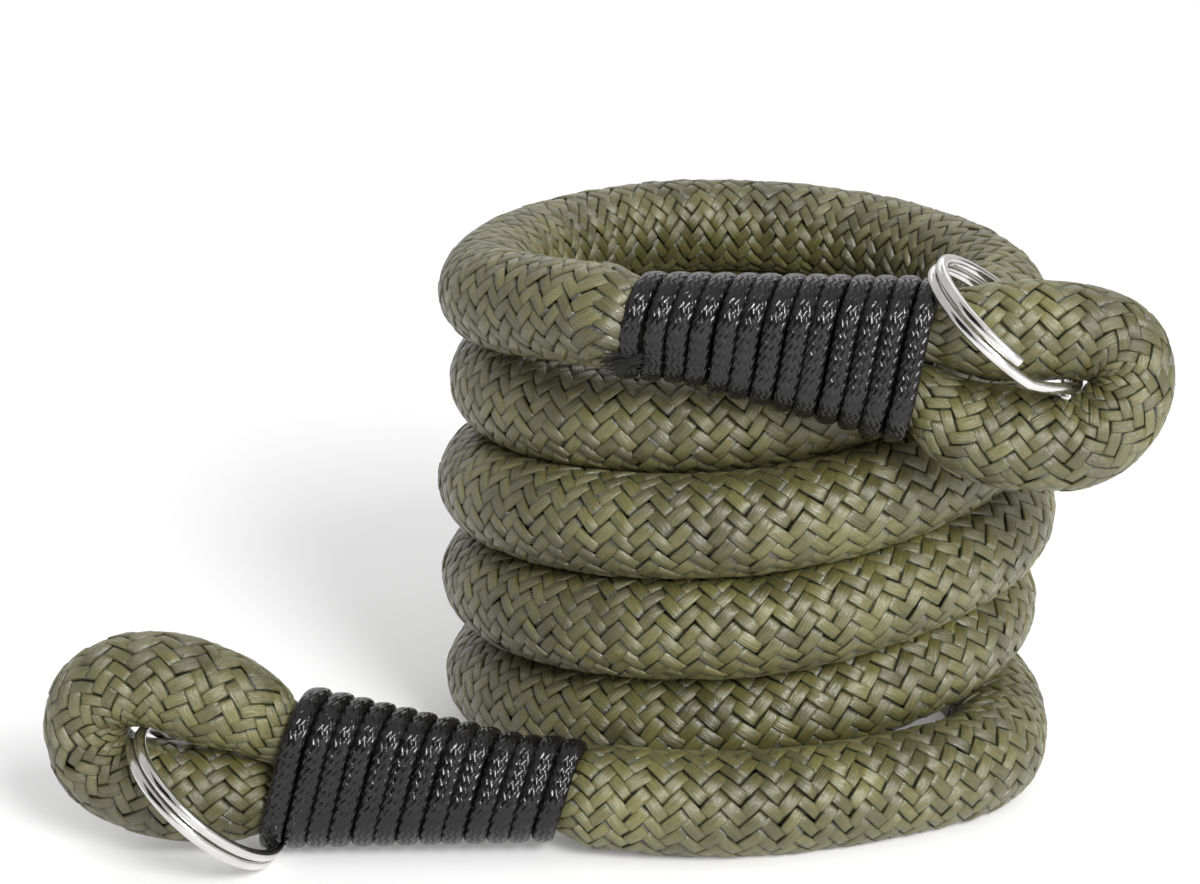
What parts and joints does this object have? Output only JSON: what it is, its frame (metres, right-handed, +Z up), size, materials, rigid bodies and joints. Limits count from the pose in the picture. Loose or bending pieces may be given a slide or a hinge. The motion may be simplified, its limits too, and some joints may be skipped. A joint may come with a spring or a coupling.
{
  "type": "camera neck strap",
  "caption": "Thick olive braided rope strap coiled into a round stack, with whipped loops at both ends and a split ring through each loop.",
  "frame": {"origin": "centre of the bounding box's bottom face, on the surface that the coil stands on", "axes": "+Z up along the coil's axis; +X from the lower loop towards the upper loop, along the two whippings; -Y is the side that both whippings are on"},
  "size_m": [0.124, 0.0888, 0.066],
  "materials": {
    "rope": "olive braided cotton-like yarn, matt",
    "waxed_cord": "black braided cord with a waxed sheen",
    "ring_steel": "bright nickel-like spring steel"
  },
  "bodies": {
    "root": {"rope": "rope", "upper_whipping": "waxed_cord", "lower_whipping": "waxed_cord", "upper_split_ring": "ring_steel", "lower_split_ring": "ring_steel"}
  },
  "joints": []
}
